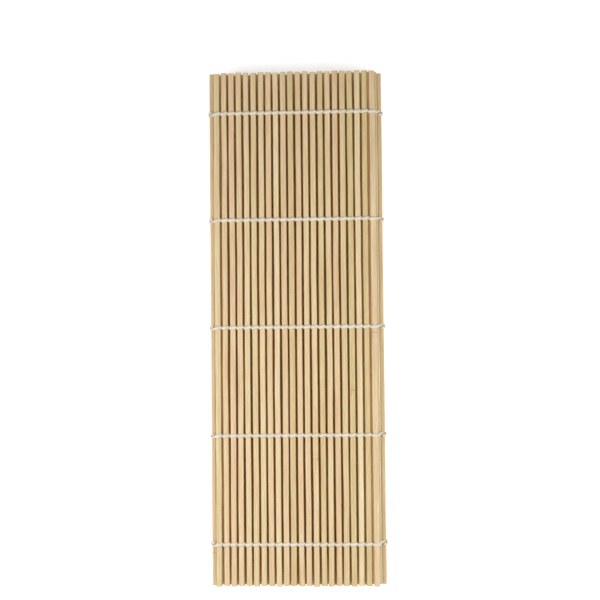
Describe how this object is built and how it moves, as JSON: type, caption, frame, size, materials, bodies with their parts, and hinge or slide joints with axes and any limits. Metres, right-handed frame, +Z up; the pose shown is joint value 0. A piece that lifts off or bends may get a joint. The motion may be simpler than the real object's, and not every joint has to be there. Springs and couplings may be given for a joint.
{
  "type": "sushi rolling mat",
  "caption": "Square bamboo rolling mat of slim sticks twined with cotton cord, folded in three and able to unfold flat and curl into a roll.",
  "frame": {"origin": "middle of the folded mat's footprint, on the surface that it lies on", "axes": "+X across the sticks towards the lower fold, +Y along the sticks, +Z up through the three layers"},
  "size_m": [0.0828, 0.241, 0.0136],
  "materials": {
    "bamboo": "bare split bamboo, satin",
    "cotton_cord": "unbleached twisted cotton, matt"
  },
  "bodies": {
    "bottom_third": {"bottom_sticks": "bamboo", "bottom_cord_1": "cotton_cord", "bottom_cord_2": "cotton_cord", "bottom_cord_3": "cotton_cord", "bottom_cord_4": "cotton_cord", "bottom_cord_5": "cotton_cord"},
    "lower_fold": {"lower_fold_stick": "bamboo", "lower_fold_loops": "cotton_cord"},
    "middle_third": {"middle_sticks": "bamboo", "middle_cord_1": "cotton_cord", "middle_cord_2": "cotton_cord", "middle_cord_3": "cotton_cord", "middle_cord_4": "cotton_cord", "middle_cord_5": "cotton_cord"},
    "upper_fold": {"upper_fold_stick": "bamboo", "upper_fold_loops": "cotton_cord"},
    "lead_in": {"lead_in_sticks": "bamboo", "lead_in_cords": "cotton_cord"},
    "roll_01": {"roll_stick_01": "bamboo", "roll_loops_01": "cotton_cord"},
    "roll_02": {"roll_stick_02": "bamboo", "roll_loops_02": "cotton_cord"},
    "roll_03": {"roll_stick_03": "bamboo", "roll_loops_03": "cotton_cord"},
    "roll_04": {"roll_stick_04": "bamboo", "roll_loops_04": "cotton_cord"},
    "roll_05": {"roll_stick_05": "bamboo", "roll_loops_05": "cotton_cord"},
    "roll_06": {"roll_stick_06": "bamboo", "roll_loops_06": "cotton_cord"},
    "roll_07": {"roll_stick_07": "bamboo", "roll_loops_07": "cotton_cord"},
    "roll_08": {"roll_stick_08": "bamboo", "roll_loops_08": "cotton_cord"},
    "roll_09": {"roll_stick_09": "bamboo", "roll_loops_09": "cotton_cord"},
    "roll_10": {"roll_stick_10": "bamboo", "roll_loops_10": "cotton_cord"},
    "roll_11": {"roll_stick_11": "bamboo", "roll_loops_11": "cotton_cord"},
    "roll_12": {"roll_stick_12": "bamboo", "roll_loops_12": "cotton_cord"},
    "roll_13": {"roll_stick_13": "bamboo", "roll_loops_13": "cotton_cord"},
    "roll_14": {"roll_stick_14": "bamboo", "roll_loops_14": "cotton_cord"},
    "roll_15": {"roll_stick_15": "bamboo", "roll_loops_15": "cotton_cord"},
    "roll_16": {"roll_stick_16": "bamboo", "roll_loops_16": "cotton_cord"},
    "roll_17": {"roll_stick_17": "bamboo", "roll_loops_17": "cotton_cord"},
    "roll_18": {"roll_stick_18": "bamboo", "roll_loops_18": "cotton_cord"}
  },
  "joints": [
    {"name": "lower_fold_a", "type": "hinge", "parent": "bottom_third", "child": "lower_fold", "pos_m": [0.03951, 0, 0.00182], "axis": [0, 1, 0], "range_deg": [0, 90]},
    {"name": "lower_fold_b", "type": "hinge", "parent": "lower_fold", "child": "middle_third", "pos_m": [0.03951, 0, 0.00675], "axis": [0, 1, 0], "range_deg": [0, 90]},
    {"name": "upper_fold_a", "type": "hinge", "parent": "middle_third", "child": "upper_fold", "pos_m": [-0.03951, 0, 0.00675], "axis": [0, -1, 0], "range_deg": [0, 90]},
    {"name": "upper_fold_b", "type": "hinge", "parent": "upper_fold", "child": "lead_in", "pos_m": [-0.03951, 0, 0.01168], "axis": [0, -1, 0], "range_deg": [0, 90]},
    {"name": "roll_hinge_01", "type": "hinge", "parent": "lead_in", "child": "roll_01", "pos_m": [-0.02486, 0, 0.01168], "axis": [0, -1, 0], "range_deg": [0, 16]},
    {"name": "roll_hinge_02", "type": "hinge", "parent": "roll_01", "child": "roll_02", "pos_m": [-0.02138, 0, 0.01168], "axis": [0, -1, 0], "range_deg": [0, 16]},
    {"name": "roll_hinge_03", "type": "hinge", "parent": "roll_02", "child": "roll_03", "pos_m": [-0.0179, 0, 0.01168], "axis": [0, -1, 0], "range_deg": [0, 16]},
    {"name": "roll_hinge_04", "type": "hinge", "parent": "roll_03", "child": "roll_04", "pos_m": [-0.01442, 0, 0.01168], "axis": [0, -1, 0], "range_deg": [0, 16]},
    {"name": "roll_hinge_05", "type": "hinge", "parent": "roll_04", "child": "roll_05", "pos_m": [-0.01094, 0, 0.01168], "axis": [0, -1, 0], "range_deg": [0, 16]},
    {"name": "roll_hinge_06", "type": "hinge", "parent": "roll_05", "child": "roll_06", "pos_m": [-0.00746, 0, 0.01168], "axis": [0, -1, 0], "range_deg": [0, 16]},
    {"name": "roll_hinge_07", "type": "hinge", "parent": "roll_06", "child": "roll_07", "pos_m": [-0.00398, 0, 0.01168], "axis": [0, -1, 0], "range_deg": [0, 16]},
    {"name": "roll_hinge_08", "type": "hinge", "parent": "roll_07", "child": "roll_08", "pos_m": [-0.0005, 0, 0.01168], "axis": [0, -1, 0], "range_deg": [0, 16]},
    {"name": "roll_hinge_09", "type": "hinge", "parent": "roll_08", "child": "roll_09", "pos_m": [0.00298, 0, 0.01168], "axis": [0, -1, 0], "range_deg": [0, 16]},
    {"name": "roll_hinge_10", "type": "hinge", "parent": "roll_09", "child": "roll_10", "pos_m": [0.00646, 0, 0.01168], "axis": [0, -1, 0], "range_deg": [0, 16]},
    {"name": "roll_hinge_11", "type": "hinge", "parent": "roll_10", "child": "roll_11", "pos_m": [0.00994, 0, 0.01168], "axis": [0, -1, 0], "range_deg": [0, 16]},
    {"name": "roll_hinge_12", "type": "hinge", "parent": "roll_11", "child": "roll_12", "pos_m": [0.01342, 0, 0.01168], "axis": [0, -1, 0], "range_deg": [0, 16]},
    {"name": "roll_hinge_13", "type": "hinge", "parent": "roll_12", "child": "roll_13", "pos_m": [0.0169, 0, 0.01168], "axis": [0, -1, 0], "range_deg": [0, 16]},
    {"name": "roll_hinge_14", "type": "hinge", "parent": "roll_13", "child": "roll_14", "pos_m": [0.02038, 0, 0.01168], "axis": [0, -1, 0], "range_deg": [0, 16]},
    {"name": "roll_hinge_15", "type": "hinge", "parent": "roll_14", "child": "roll_15", "pos_m": [0.02386, 0, 0.01168], "axis": [0, -1, 0], "range_deg": [0, 16]},
    {"name": "roll_hinge_16", "type": "hinge", "parent": "roll_15", "child": "roll_16", "pos_m": [0.02734, 0, 0.01168], "axis": [0, -1, 0], "range_deg": [0, 16]},
    {"name": "roll_hinge_17", "type": "hinge", "parent": "roll_16", "child": "roll_17", "pos_m": [0.03082, 0, 0.01168], "axis": [0, -1, 0], "range_deg": [0, 16]},
    {"name": "roll_hinge_18", "type": "hinge", "parent": "roll_17", "child": "roll_18", "pos_m": [0.0343, 0, 0.01168], "axis": [0, -1, 0], "range_deg": [0, 16]}
  ],
  "couplings": [
    {"joint": "lower_fold_b", "follows": "lower_fold_a", "ratio": 1},
    {"joint": "upper_fold_b", "follows": "upper_fold_a", "ratio": 1},
    {"joint": "roll_hinge_02", "follows": "roll_hinge_01", "ratio": 1},
    {"joint": "roll_hinge_03", "follows": "roll_hinge_01", "ratio": 1},
    {"joint": "roll_hinge_04", "follows": "roll_hinge_01", "ratio": 1},
    {"joint": "roll_hinge_05", "follows": "roll_hinge_01", "ratio": 1},
    {"joint": "roll_hinge_06", "follows": "roll_hinge_01", "ratio": 1},
    {"joint": "roll_hinge_07", "follows": "roll_hinge_01", "ratio": 1},
    {"joint": "roll_hinge_08", "follows": "roll_hinge_01", "ratio": 1},
    {"joint": "roll_hinge_09", "follows": "roll_hinge_01", "ratio": 1},
    {"joint": "roll_hinge_10", "follows": "roll_hinge_01", "ratio": 1},
    {"joint": "roll_hinge_11", "follows": "roll_hinge_01", "ratio": 1},
    {"joint": "roll_hinge_12", "follows": "roll_hinge_01", "ratio": 1},
    {"joint": "roll_hinge_13", "follows": "roll_hinge_01", "ratio": 1},
    {"joint": "roll_hinge_14", "follows": "roll_hinge_01", "ratio": 1},
    {"joint": "roll_hinge_15", "follows": "roll_hinge_01", "ratio": 1},
    {"joint": "roll_hinge_16", "follows": "roll_hinge_01", "ratio": 1},
    {"joint": "roll_hinge_17", "follows": "roll_hinge_01", "ratio": 1},
    {"joint": "roll_hinge_18", "follows": "roll_hinge_01", "ratio": 1}
  ]
}
